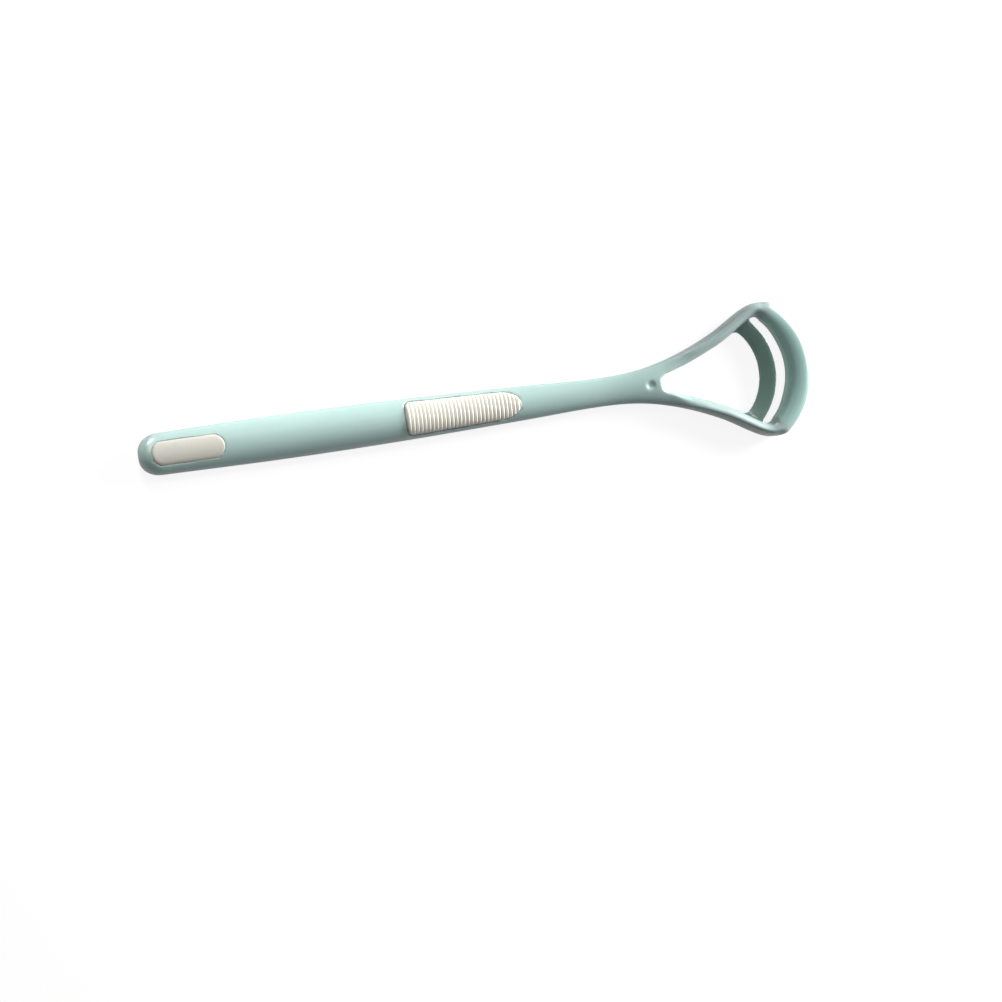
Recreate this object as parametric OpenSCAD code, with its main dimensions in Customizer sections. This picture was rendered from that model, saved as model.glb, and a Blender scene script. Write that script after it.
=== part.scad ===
// A tongue scraper lying on its flat back. A slim moulded handle forks into two arms, which carry
// an outer and an inner curved scraping blade. A ribbed soft thumb pad and a smooth inset near the
// tail sit in pockets in the handle.
// The handle runs along X with the head at +X, and +Z is the side with the pad.
// The origin is on the flat back, at the middle of the footprint.

/* [Handle] */
// Length from the tail end to the fork between the arms
handle_length = 125; // [115:1:145]
// Greatest width, in the tail half
handle_width = 10.1; // [9:0.1:12]
// Greatest thickness, where the thumb pad starts
handle_thickness = 5.6; // [5:0.1:7]
// Thickness near the tail end, before its rounding
tail_thickness = 4.9; // [4.4:0.1:6]
// Length of the rounding at the tail end
tail_round = 5; // [3:0.5:8]
// Least width, at the neck
neck_width = 6.5; // [6:0.1:8]
// Thickness at the neck
neck_thickness = 3.8; // [3.4:0.1:4.8]
// Thickness at the fork
fork_thickness = 4; // [3.6:0.1:4.8]
// Distance from the narrowest place of the neck to the fork
neck_to_fork = 15; // [12:1:20]
// Height above the back up to which the sides stand upright
side_height = 2.2; // [1.8:0.1:2.6]
// Rounding of the long edges of the back
back_round = 1.2; // [0.6:0.1:1.6]

/* [Head] */
// Length from the fork to the tip of the outer blade
head_length = 35; // [31:1:42]
// Width over the outer corners
head_width = 30.5; // [27:0.5:35]
// Distance from the tip of the outer blade back to the widest place
corner_setback = 9.5; // [8.5:0.1:10.5]
// Width of each arm, square to its run
arm_width = 3.4; // [2.8:0.1:4]
// Radius of the window's end at the fork
window_end_radius = 2.2; // [1.6:0.1:2.8]
// Height of the underside of the head above the flat back
head_lift = 0.3; // [0.2:0.05:0.6]
// Diameter of the round dimple before the fork
dimple_diameter = 2.3; // [1.6:0.1:3]
// Depth of the dimple
dimple_depth = 0.3; // [0.2:0.05:0.5]
// Distance from the middle of the dimple to the fork
dimple_to_fork = 2.3; // [2:0.1:5]

/* [Blades] */
// Radius of the rim of the outer blade
outer_blade_radius = 19; // [18:0.5:22]
// Height of the outer blade
outer_blade_height = 4.5; // [4:0.1:5.5]
// Lean of the outer blade from upright, its lower edge towards the handle
outer_blade_lean = 26; // [12:1:30]
// Thickness of the outer blade
outer_blade_thickness = 1.2; // [0.9:0.05:1.6]
// Angle from the middle line to the end of the outer blade's arc
outer_blade_angle = 50; // [46:1:52]
// Radius of the rim of the inner blade
inner_blade_radius = 16; // [15:0.5:18]
// Height of the inner blade
inner_blade_height = 3.5; // [3:0.1:4]
// Lean of the inner blade from upright
inner_blade_lean = 23; // [12:1:28]
// Thickness of the inner blade
inner_blade_thickness = 1; // [0.8:0.05:1.4]
// Distance between the rims of the blades on the middle line
blade_spacing = 8.2; // [7.2:0.1:9.2]
// Height of the rounding along each rim
rim_round = 0.6; // [0.4:0.05:0.8]

/* [Thumb pad] */
// Length of the pad
pad_length = 28.2; // [24:0.1:34]
// Distance from the nose of the pad to the narrowest place of the neck
pad_to_neck = 19; // [14:1:24]
// Width of the border of handle beside the pad
pad_border = 0.9; // [0.7:0.05:1.2]
// Length of the rounded nose of the pad
pad_nose = 5.9; // [4:0.1:8]
// Radius of the two corners at the other end of the pad
pad_corner = 1.75; // [1:0.05:2.5]
// Depth of the pad's pocket below the crown of the handle
pad_depth = 2.6; // [2.2:0.1:2.8]
// Height of the rib tops above the handle
pad_rise = 0.6; // [0.5:0.05:0.9]
// Distance from one rib to the next
rib_pitch = 0.94; // [0.8:0.02:1.4]
// Width of each rib
rib_width = 0.54; // [0.4:0.02:0.6]
// Height of each rib
rib_height = 0.4; // [0.25:0.05:0.45]

/* [Tail inset] */
// Length of the inset
inset_length = 17.5; // [12:0.5:24]
// Width of the inset
inset_width = 5.6; // [4.5:0.1:6.4]
// Distance from the tail end to the inset
inset_to_tail = 3.2; // [3.2:0.1:6]
// Depth of the inset's pocket below the thickness of the tail
inset_depth = 1.6; // [1.2:0.1:2]
// Depth of the inset's face below the surface of the handle
inset_recess = 0.1; // [0.05:0.05:0.2]

/* [Seats] */
// Diameter of the anchor plugs that key the soft pieces to the handle
anchor_diameter = 2.2; // [1.6:0.1:2.6]
// Depth of the anchor holes below the pocket floors
anchor_depth = 1.2; // [0.8:0.1:1.4]
// Clearance round the soft pieces and their plugs
fit_gap = 0.05; // [0.03:0.01:0.1]

/* [Hidden] */

// Places along X, counted from the tail end
neck_place = handle_length - neck_to_fork;
pad_end = neck_place - pad_to_neck;
pad_start = pad_end - pad_length;
overall_length = handle_length + head_length;
corner_place = overall_length - corner_setback;
outer_blade_place = overall_length - outer_blade_radius;
inner_blade_place = overall_length - blade_spacing - inner_blade_radius;
pad_floor = handle_thickness - pad_depth;
inset_floor = tail_thickness - inset_depth;

// Shares for the curves
handle_place_shares = [0.3, 0.54, 0.83];
handle_width_shares = [1, 0.95, 0.77];
tail_width_share = 0.95;
flare_place_shares = [0.24, 0.465, 0.695, 0.91];
flare_width_shares = [0.05, 0.245, 0.56, 0.945];
anchor_place_shares = [0.25, 0.7];
edge_share = 0.3;
tail_power = 0.9;
tail_end_angle = 80;

// Overrun of every cut past the surface that it leaves by
overrun = 1;
// Length over which an arm's crown moves from the middle line to the middle of the arm
arm_blend = 7;
// Half of the span over which the slope of a curve is measured
slope_reach = 0.5;

// Steps of the round stretches
dome_steps = 6;
edge_steps = 2;
tail_steps = 4;
handle_steps = 15;
neck_steps = 5;
window_end_steps = 3;
arm_steps = 8;
corner_steps = 5;
blade_steps = 7;
outline_steps = 10;

// Slope of the curve at point i, level at both ends
function point_slope(points, i) =
    i == 0 || i == len(points) - 1 ? 0 :
    (points[i + 1][1] - points[i - 1][1]) / (points[i + 1][0] - points[i - 1][0]);

// Value at x of the smooth curve through the points, which come in order of x
function curve(points, x, i = 0) =
    i < len(points) - 2 && x > points[i + 1][0] ? curve(points, x, i + 1) :
    let (
        span = points[i + 1][0] - points[i][0],
        u = (x - points[i][0]) / span,
        rise = 3 * u * u - 2 * u * u * u,
        start_pull = u * (1 - u) * (1 - u),
        end_pull = u * u * (u - 1)
    )
    points[i][1] + (points[i + 1][1] - points[i][1]) * rise
    + span * (start_pull * point_slope(points, i) + end_pull * point_slope(points, i + 1));

// Outer edge of the handle and the arms, as distances from the middle line
edge_points = [
    [0, handle_width / 2 * tail_width_share],
    for (i = [0:len(handle_place_shares) - 1])
        [neck_place * handle_place_shares[i], handle_width / 2 * handle_width_shares[i]],
    [neck_place, neck_width / 2],
    for (i = [0:len(flare_place_shares) - 1])
        [
            neck_place + (corner_place - neck_place) * flare_place_shares[i],
            neck_width / 2 + (head_width - neck_width) / 2 * flare_width_shares[i]
        ],
    [corner_place, head_width / 2]
];
function outer_edge(x) = curve(edge_points, x);
function edge_slope(x) =
    (outer_edge(x + slope_reach) - outer_edge(x - slope_reach)) / (slope_reach * 2);

// Inner edge of an arm, parallel to its outer edge past the round end of the window
function arm_inner_edge(x) = outer_edge(x) - arm_width * sqrt(1 + pow(edge_slope(x), 2));
function window_edge(x) =
    let (u = min(1, (x - handle_length) / window_end_radius))
    x > handle_length + window_end_radius ? arm_inner_edge(x) :
    arm_inner_edge(handle_length + window_end_radius) * sqrt(1 - pow(1 - u, 2));

// Thickness from the underside to the crown
thickness_points = [
    [0, tail_thickness],
    [pad_start, handle_thickness],
    [neck_place, neck_thickness],
    [handle_length, fork_thickness],
    [corner_place, outer_blade_height]
];
function thickness(x) = curve(thickness_points, x);
function smooth_step(u) = let (v = max(0, min(1, u))) v * v * (3 - 2 * v);
function lift(x) = head_lift * smooth_step((x - neck_place) / neck_to_fork);

// A station of the half body is [inner point, outer point, height, shoulder height, crown share,
// lean shift, lift]. The crown share is 0 where the crown lies over the inner point.
function tail_station(angle) =
    let (
        share = pow(cos(angle), tail_power),
        x = tail_round * (1 - sin(angle) / sin(tail_end_angle))
    )
    [
        [x, 0],
        [x, outer_edge(tail_round) * share],
        side_height + (thickness(tail_round) - side_height) * share,
        side_height,
        0, 0, 0
    ];

function handle_station(x) =
    [[x, 0], [x, outer_edge(x)], thickness(x), side_height, 0, 0, lift(x)];

function arm_station(x) =
    [
        [x, window_edge(x)],
        [x, outer_edge(x)],
        thickness(x),
        side_height,
        smooth_step((x - handle_length) / arm_blend) / 2,
        0,
        head_lift
    ];

// The leaning wall of the outer blade
outer_blade_shift = outer_blade_height * tan(outer_blade_lean);
outer_blade_reach = outer_blade_shift + outer_blade_thickness / cos(outer_blade_lean);
function on_blade(radius, angle) =
    [outer_blade_place + radius * cos(angle), radius * sin(angle)];
function blade_station(angle) =
    [
        on_blade(outer_blade_radius - outer_blade_reach, angle),
        on_blade(outer_blade_radius, angle),
        outer_blade_height,
        outer_blade_height - rim_round,
        1 / 2,
        outer_blade_shift,
        head_lift
    ];

// The corner turns from the arm into the blade along a curve that is level where it starts
function corner_station(u) =
    let (
        from = arm_station(corner_place),
        to = blade_station(outer_blade_angle),
        reach = norm(to[1] - from[1]) / 2,
        heading = [sin(outer_blade_angle), -cos(outer_blade_angle)],
        out_handle = from[1] + [reach, 0],
        in_handle = to[1] - heading * reach,
        outer = pow(1 - u, 3) * from[1] + 3 * u * pow(1 - u, 2) * out_handle
            + 3 * u * u * (1 - u) * in_handle + pow(u, 3) * to[1]
    )
    [
        from[0] + (to[0] - from[0]) * u,
        outer,
        for (i = [2:6]) from[i] + (to[i] - from[i]) * smooth_step(u)
    ];

tail_stations = [
    for (i = [0:tail_steps - 1]) tail_station(tail_end_angle * (1 - i / tail_steps))
];
handle_stations = [
    for (i = [0:handle_steps - 1])
        handle_station(tail_round + (neck_place - tail_round) * i / handle_steps),
    for (i = [0:neck_steps]) handle_station(neck_place + neck_to_fork * i / neck_steps)
];
arm_start = handle_length + window_end_radius;
arm_stations = [
    for (i = [1:window_end_steps])
        arm_station(handle_length + window_end_radius * (1 - cos(90 * i / window_end_steps))),
    for (i = [1:arm_steps])
        arm_station(arm_start + (corner_place - arm_start) * i / arm_steps)
];
head_stations = [
    for (i = [1:corner_steps]) corner_station(i / corner_steps),
    for (i = [1:blade_steps]) blade_station(outer_blade_angle * (1 - i / blade_steps))
];
closed_stations = concat(tail_stations, handle_stations);
body_stations = concat(closed_stations, arm_stations, head_stations);

// Section of a station from its underside over the outer side to the crown, and down the inner side
function section(station) =
    let (
        width = norm(station[1] - station[0]) - station[5],
        height = station[2],
        shoulder = station[3],
        crown = station[4] * width,
        foot = min(back_round, width * edge_share),
        inner_foot = foot * station[4] * 2
    )
    [
        [inner_foot, 0],
        for (i = [0:edge_steps])
            let (a = 90 * i / edge_steps)
            [width - foot * (1 - sin(a)), foot * (1 - cos(a))],
        for (i = [0:dome_steps])
            let (a = 90 * i / dome_steps)
            [crown + (width - crown) * cos(a), shoulder + (height - shoulder) * sin(a)],
        for (i = [1:dome_steps])
            let (a = 90 * i / dome_steps)
            [crown * (1 - sin(a)), shoulder + (height - shoulder) * cos(a)],
        for (i = [0:edge_steps - 1])
            let (a = 90 * i / edge_steps)
            [inner_foot * (1 - cos(a)), foot * (1 - sin(a))]
    ];

// The section's points in space, on the side of the middle line that the sign gives
function ring(station, side) =
    let (along = (station[1] - station[0]) / norm(station[1] - station[0]))
    [
        for (p = section(station))
            let (place = station[0] + along * (p[0] + station[5] * min(1, p[1] / station[3])))
            [place[0], side * place[1], station[6] + p[1]]
    ];
ring_size = 2 * dome_steps + 2 * edge_steps + 3;
crown_index = edge_steps + dome_steps + 2;

// Skin of one half, with no wall on the middle line for the first closed stations
function half_faces(count, closed, base, flip) =
    [
        for (i = [0:count - 2], j = [0:ring_size - 1])
            if (i >= closed - 1 || j < crown_index)
                let (
                    k = (j + 1) % ring_size,
                    a = base + i * ring_size + j,
                    b = base + i * ring_size + k,
                    c = base + (i + 1) * ring_size + k,
                    d = base + (i + 1) * ring_size + j
                )
                each (flip ? [[a, b, c], [a, c, d]] : [[c, b, a], [d, c, a]])
    ];
function end_face(base, flip) =
    let (step = flip ? ring_size - 1 : 1)
    [for (j = [0:ring_size - 1]) base + (edge_steps + 1 + j * step) % ring_size];

// Solid through the stations and their mirror images, open between the halves past the closed ones
module loft(stations, closed, capped) {
    count = len(stations);
    half = count * ring_size;
    points = [
        for (side = [1, -1], station = stations) each ring(station, side)
    ];
    last = (count - 1) * ring_size;
    faces = concat(
        half_faces(count, closed, 0, false),
        half_faces(count, closed, half, true),
        [end_face(0, false), end_face(half, true)],
        capped ? [end_face(last, true), end_face(half + last, false)] : []
    );
    polyhedron(points, faces, convexity = 6);
}

// Outline of the pad, grown by a clearance: the handle's own edge inside its border
function pad_half_width(x) = outer_edge(x) - pad_border;
function pad_outline(grow) =
    let (
        nose_place = pad_end - pad_nose,
        corner_line = pad_half_width(pad_start) - pad_corner,
        half = [
            for (i = [0:outline_steps])
                let (a = 90 * i / outline_steps)
                [
                    pad_start + pad_corner - (pad_corner + grow) * cos(a),
                    corner_line + (pad_corner + grow) * sin(a)
                ],
            for (i = [1:outline_steps])
                let (x = pad_start + pad_corner + (nose_place - pad_start - pad_corner) * i / outline_steps)
                [x, pad_half_width(x) + grow],
            for (i = [1:outline_steps - 1])
                let (a = 90 * i / outline_steps)
                [
                    nose_place + (pad_nose + grow) * sin(a),
                    (pad_half_width(nose_place) + grow) * cos(a)
                ]
        ]
    )
    concat(
        half,
        [[pad_end + grow, 0]],
        [for (i = [len(half) - 1:-1:0]) [half[i][0], -half[i][1]]]
    );

module inset_outline(grow) {
    radius = inset_width / 2;
    straight = inset_length - inset_width;
    translate([inset_to_tail + radius, 0]) {
        circle(r = radius + grow, $fn = 48);
        translate([0, -radius - grow]) square([straight, inset_width + grow * 2]);
        translate([straight, 0]) circle(r = radius + grow, $fn = 48);
    }
}

// Plugs, or holes for them, that hang down from a pocket floor
module anchors(start, length, floor_height, grow) {
    for (share = anchor_place_shares)
        translate([start + length * share, 0, floor_height - anchor_depth - grow])
            cylinder(d = anchor_diameter + grow * 2, h = anchor_depth + grow * 2, $fn = 32);
}

// The handle's own surface between two places, raised, as the top of a soft piece
module crown_block(from, to, raise) {
    steps = ceil((to - from) / rib_pitch / 4);
    translate([0, 0, raise])
        loft(
            [for (i = [-1:steps + 1]) handle_station(from + (to - from) * i / steps)],
            steps + 3,
            true
        );
}

module inner_blade() {
    angle = asin((head_width / 2 - arm_width) / inner_blade_radius);
    shift = inner_blade_height * tan(inner_blade_lean);
    wall = inner_blade_thickness / cos(inner_blade_lean);
    foot = inner_blade_radius - shift - wall;
    rim_steps = 6;
    translate([inner_blade_place, 0, head_lift])
        rotate([0, 0, -angle])
            rotate_extrude(angle = angle * 2, $fn = 180)
                polygon([
                    [foot, 0],
                    [foot + wall, 0],
                    for (i = [0:rim_steps])
                        let (a = 180 * i / rim_steps)
                        [
                            foot + shift + wall * (1 + cos(a)) / 2,
                            inner_blade_height - rim_round * (1 - sin(a))
                        ]
                ]);
}

module body() {
    color("#a9d3cc")
        difference() {
            union() {
                loft(body_stations, len(closed_stations), false);
                inner_blade();
            }
            translate([0, 0, pad_floor])
                linear_extrude(handle_thickness) polygon(pad_outline(fit_gap));
            anchors(pad_start, pad_length, pad_floor, fit_gap);
            translate([0, 0, inset_floor])
                linear_extrude(handle_thickness) inset_outline(fit_gap);
            anchors(inset_to_tail, inset_length, inset_floor, fit_gap);
            dimple_place = handle_length - dimple_to_fork;
            translate([dimple_place, 0, lift(dimple_place) + thickness(dimple_place) - dimple_depth])
                cylinder(d = dimple_diameter, h = dimple_depth + overrun, $fn = 32);
        }
}

module grip_pad() {
    rib_span = pad_length - pad_corner;
    rib_count = floor(rib_span / rib_pitch);
    color("#f4f1e7") {
        intersection() {
            translate([0, 0, pad_floor])
                linear_extrude(handle_thickness) polygon(pad_outline(0));
            union() {
                crown_block(pad_start, pad_end, pad_rise - rib_height);
                intersection() {
                    crown_block(pad_start, pad_end, pad_rise);
                    for (i = [0:rib_count - 1])
                        translate([pad_start + rib_pitch * (i + 1 / 2), -handle_width / 2, pad_floor])
                            cube([rib_width, handle_width, handle_thickness]);
                }
            }
        }
        anchors(pad_start, pad_length, pad_floor, 0);
    }
}

module tail_inset() {
    color("#d3d0c5") {
        intersection() {
            translate([0, 0, inset_floor])
                linear_extrude(handle_thickness) inset_outline(0);
            crown_block(inset_to_tail, inset_to_tail + inset_length, -inset_recess);
        }
        anchors(inset_to_tail, inset_length, inset_floor, 0);
    }
}

translate([-overall_length / 2, 0, 0]) {
    body();
    grip_pad();
    tail_inset();
}
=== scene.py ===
"""A moulded tongue scraper with a ribbed soft thumb pad and a smooth tail inset.

The handle runs along X with the head at +X, the pad faces +Z and the flat back lies on z = 0.
Sizes in the classes are millimetres, and places along the handle count from the tail end. Every
mesh is in metres.
"""

import logging
import math
from dataclasses import dataclass, replace
from enum import Enum

import bmesh
import bpy
from mathutils import Matrix, Vector


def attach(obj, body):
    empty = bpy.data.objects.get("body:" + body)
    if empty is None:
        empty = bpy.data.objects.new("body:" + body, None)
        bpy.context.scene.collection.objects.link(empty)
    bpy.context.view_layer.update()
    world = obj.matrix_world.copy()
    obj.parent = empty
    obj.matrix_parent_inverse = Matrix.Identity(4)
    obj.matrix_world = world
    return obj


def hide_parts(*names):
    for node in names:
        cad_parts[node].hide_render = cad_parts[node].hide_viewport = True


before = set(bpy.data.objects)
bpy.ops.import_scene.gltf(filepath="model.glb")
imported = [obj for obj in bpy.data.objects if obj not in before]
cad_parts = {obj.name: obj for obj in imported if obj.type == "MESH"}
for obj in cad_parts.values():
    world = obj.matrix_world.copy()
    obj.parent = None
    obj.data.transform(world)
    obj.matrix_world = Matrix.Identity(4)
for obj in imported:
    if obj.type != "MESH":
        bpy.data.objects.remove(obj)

LOG = logging.getLogger("tongue_scraper")
MM = 0.001
OVERALL_LENGTH = 160.0
# Colour attribute on the body that carries painted light and shade
PAINTED_LIGHT_ATTRIBUTE = "painted_light_tint"


class Cut(Enum):
    """What a boolean modifier does to a piece."""

    TAKE_OUT = "DIFFERENCE"
    ADD = "UNION"


class Cap(Enum):
    """How the two ends of a sweep are closed."""

    START = "start"
    BOTH = "both"


def smooth_step(share: float) -> float:
    """Eases a share from 0 to 1.

    Args:
        share: The share, held between 0 and 1.

    Returns:
        The eased share, level at both ends.
    """
    held = max(0.0, min(1.0, share))
    return held * held * (3 - 2 * held)


def mix(start: float, end: float, share: float) -> float:
    """Mixes two numbers.

    Args:
        start: The number at share 0.
        end: The number at share 1.
        share: How far from start to end.

    Returns:
        The mixed number.
    """
    return start + (end - start) * share


def evenly(first: float, last: float, count: int) -> list[float]:
    """Spaces numbers evenly.

    Args:
        first: The first number.
        last: The last number.
        count: How many steps lie between them.

    Returns:
        The numbers, with the first and the last.
    """
    return [first + (last - first) * i / count for i in range(count + 1)]


def close_at_ends(first: float, span: float, count: int) -> list[float]:
    """Spaces numbers so that they lie close together at both ends.

    Args:
        first: The first number.
        span: How much larger the last number is.
        count: How many steps lie between them.

    Returns:
        The numbers, with the first and the last.
    """
    return [first + span * (1 - math.cos(turn)) / 2 for turn in evenly(0.0, math.pi, count)]


def rounded_min(one: float, other: float, reach: float) -> float:
    """Takes the smaller of two numbers, with a round corner where they cross.

    Args:
        one: The first number.
        other: The second number.
        reach: Difference below which the corner is rounded.

    Returns:
        The smaller number, a little less where the two are close.
    """
    near = max(0.0, 1 - abs(one - other) / reach)
    return min(one, other) - near * near * reach / 4


def curve(points: tuple[tuple[float, float], ...], place: float) -> float:
    """Reads the smooth curve through some points.

    Args:
        points: The points as (place, value), in order of place.
        place: Where to read the curve.

    Returns:
        The value there. The curve is level at both ends.
    """

    def slope(i: int) -> float:
        """Slope of the curve at a point, over its two neighbours.

        Args:
            i: The point's number.

        Returns:
            The slope, level at both ends.
        """
        if i in (0, len(points) - 1):
            return 0.0
        return (points[i + 1][1] - points[i - 1][1]) / (points[i + 1][0] - points[i - 1][0])

    i = 0
    while i < len(points) - 2 and place > points[i + 1][0]:
        i += 1
    span = points[i + 1][0] - points[i][0]
    u = (place - points[i][0]) / span
    rise = 3 * u * u - 2 * u**3
    value = points[i][1] + (points[i + 1][1] - points[i][1]) * rise
    return value + span * (u * (1 - u) ** 2 * slope(i) + u * u * (u - 1) * slope(i + 1))


def linear(hex_colour: str) -> tuple[float, float, float, float]:
    """Turns an sRGB hex colour to linear values.

    Args:
        hex_colour: Six hex digits.

    Returns:
        Linear red, green and blue, and full alpha.
    """
    values = [int(hex_colour[i : i + 2], 16) / 255 for i in (0, 2, 4)]
    red, green, blue = (v / 12.92 if v <= 0.04045 else ((v + 0.055) / 1.055) ** 2.4 for v in values)
    return (red, green, blue, 1.0)


def in_metres(x: float, y: float, z: float) -> Vector:
    """Turns a place in millimetres from the tail end into metres in the shared frame.

    Args:
        x: Distance from the tail end.
        y: Distance from the middle line.
        z: Height above the flat back.

    Returns:
        The place in metres.
    """
    return Vector(((x - OVERALL_LENGTH / 2) * MM, y * MM, z * MM))


def select_only(piece: bpy.types.Object) -> None:
    """Selects one object and makes it the active one.

    Args:
        piece: The object.
    """
    bpy.ops.object.select_all(action="DESELECT")
    piece.select_set(True)
    bpy.context.view_layer.objects.active = piece


def sweep(name: str, rings: list[list[Vector]], cap: Cap) -> bpy.types.Object:
    """Draws a ring and extrudes it from station to station.

    Args:
        name: The name of the new object.
        rings: The stations, each a closed ring with the same number of points.
        cap: Whether the far end gets a face too.

    Returns:
        The swept object, in object mode, with its faces pointing outwards.
    """
    bpy.ops.object.select_all(action="DESELECT")
    bpy.ops.mesh.primitive_circle_add(vertices=len(rings[0]), radius=MM, fill_type="NOTHING")
    piece = bpy.context.object
    piece.name = name
    bpy.ops.object.mode_set(mode="EDIT")
    bpy.ops.mesh.select_mode(type="VERT")
    shape = bmesh.from_edit_mesh(piece.data)
    ring = list(shape.verts)
    for vertex, place in zip(ring, rings[0]):
        vertex.co = place
    bpy.ops.mesh.edge_face_add()
    bpy.ops.mesh.select_all(action="SELECT")
    for places in rings[1:]:
        bpy.ops.mesh.extrude_edges_move()
        shape = bmesh.from_edit_mesh(piece.data)
        ring = [
            next(e.other_vert(v) for e in v.link_edges if e.other_vert(v).select) for v in ring
        ]
        for vertex, place in zip(ring, places):
            vertex.co = place
    if cap is Cap.BOTH:
        bpy.ops.mesh.edge_face_add()
    bpy.ops.mesh.select_all(action="SELECT")
    bpy.ops.mesh.normals_make_consistent(inside=False)
    bpy.ops.object.mode_set(mode="OBJECT")
    return piece


def apply_modifier(piece: bpy.types.Object, kind: str, settings: dict) -> None:
    """Gives a piece a modifier and applies it.

    Args:
        piece: The piece that is changed, which is then the only one selected.
        kind: The modifier's type name.
        settings: The modifier's settings by name.
    """
    select_only(piece)
    modifier = piece.modifiers.new(kind.title(), kind)
    for key, value in settings.items():
        setattr(modifier, key, value)
    bpy.ops.object.modifier_apply(modifier=modifier.name)


def apply_boolean(piece: bpy.types.Object, tool: bpy.types.Object, cut: Cut) -> None:
    """Cuts a piece with a tool, or adds the tool to it, and removes the tool.

    Args:
        piece: The piece that is changed.
        tool: The closed mesh that cuts it.
        cut: What is done.
    """
    settings = {"operation": cut.value, "solver": "EXACT", "object": tool}
    apply_modifier(piece, "BOOLEAN", settings)
    bpy.data.objects.remove(tool)


def add_node(
    tree: bpy.types.NodeTree, kind: str, settings: dict | None = None, links: dict | None = None
) -> bpy.types.Node:
    """Adds one node with its settings and incoming links.

    Args:
        tree: The node tree.
        kind: The node's type name.
        settings: Values by property or input name.
        links: Output sockets by input name or number.

    Returns:
        The node.
    """
    node = tree.nodes.new(kind)
    for key, value in (settings or {}).items():
        if isinstance(key, str) and hasattr(node, key):
            setattr(node, key, value)
        else:
            node.inputs[key].default_value = value
    for key, socket in (links or {}).items():
        tree.links.new(socket, node.inputs[key])
    return node


@dataclass(frozen=True)
class MouldedFinish:
    """A plastic or rubber surface as it comes out of a polished or etched mould."""

    name: str
    base: str
    deep: str
    roughness: float
    roughness_spread: float
    grain_mm: float
    grain_height_mm: float
    flow_mm: float
    ior: float
    glow: float
    glow_depth_mm: float
    polish: float = 0.0
    polish_ior: float = 1.7
    glow_spread: tuple[float, float, float] = (0.85, 1.0, 0.92)
    # Whether the colour is multiplied by painted light and shade held on the piece
    has_painted_light: bool = False

    def make(self) -> bpy.types.Material:
        """Builds the material.

        Returns:
            A material that shades on Object coordinates.
        """
        material = bpy.data.materials.new(self.name)
        material.use_nodes = True
        tree = material.node_tree
        tree.nodes.clear()
        place = add_node(tree, "ShaderNodeTexCoord")
        # Slow clouds, as the melt flowed along the mould
        flow = add_node(
            tree,
            "ShaderNodeTexNoise",
            {"Scale": 1 / (self.flow_mm * MM), "Detail": 2.0, "Roughness": 0.45},
            {"Vector": place.outputs["Object"]},
        )
        colour = add_node(
            tree,
            "ShaderNodeMix",
            {"data_type": "RGBA", 6: linear(self.base), 7: linear(self.deep)},
            {"Factor": flow.outputs["Fac"]},
        )
        if self.has_painted_light:
            # Painted glow and shade: a tint on each vertex multiplies the colour, standing in for
            # light through the thin blades and for shade on the arms and the inner blade
            painted_light_node = add_node(tree, "ShaderNodeAttribute", {"attribute_name": PAINTED_LIGHT_ATTRIBUTE})
            colour = add_node(
                tree,
                "ShaderNodeMix",
                {"data_type": "RGBA", "blend_type": "MULTIPLY", 0: 1.0},
                {6: colour.outputs[2], 7: painted_light_node.outputs["Color"]},
            )
        # Fine grain of the mould's wall
        grain = add_node(
            tree,
            "ShaderNodeTexNoise",
            {"Scale": 1 / (self.grain_mm * MM), "Detail": 3.0, "Roughness": 0.5},
            {"Vector": place.outputs["Object"]},
        )
        gloss = add_node(
            tree,
            "ShaderNodeMapRange",
            {
                "To Min": self.roughness - self.roughness_spread,
                "To Max": self.roughness + self.roughness_spread,
            },
            {"Value": flow.outputs["Fac"]},
        )
        bump = add_node(
            tree,
            "ShaderNodeBump",
            {"Strength": 1.0, "Distance": self.grain_height_mm * MM},
            {"Height": grain.outputs["Fac"]},
        )
        shader = add_node(
            tree,
            "ShaderNodeBsdfPrincipled",
            {
                "IOR": self.ior,
                "Coat Weight": self.polish,
                "Coat Roughness": self.roughness,
                "Coat IOR": self.polish_ior,
                "Subsurface Weight": self.glow,
                "Subsurface Radius": self.glow_spread,
                "Subsurface Scale": self.glow_depth_mm * MM,
            },
            {
                "Base Color": colour.outputs[2],
                "Roughness": gloss.outputs["Result"],
                "Normal": bump.outputs["Normal"],
            },
        )
        add_node(tree, "ShaderNodeOutputMaterial", None, {"Surface": shader.outputs["BSDF"]})
        return material


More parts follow.
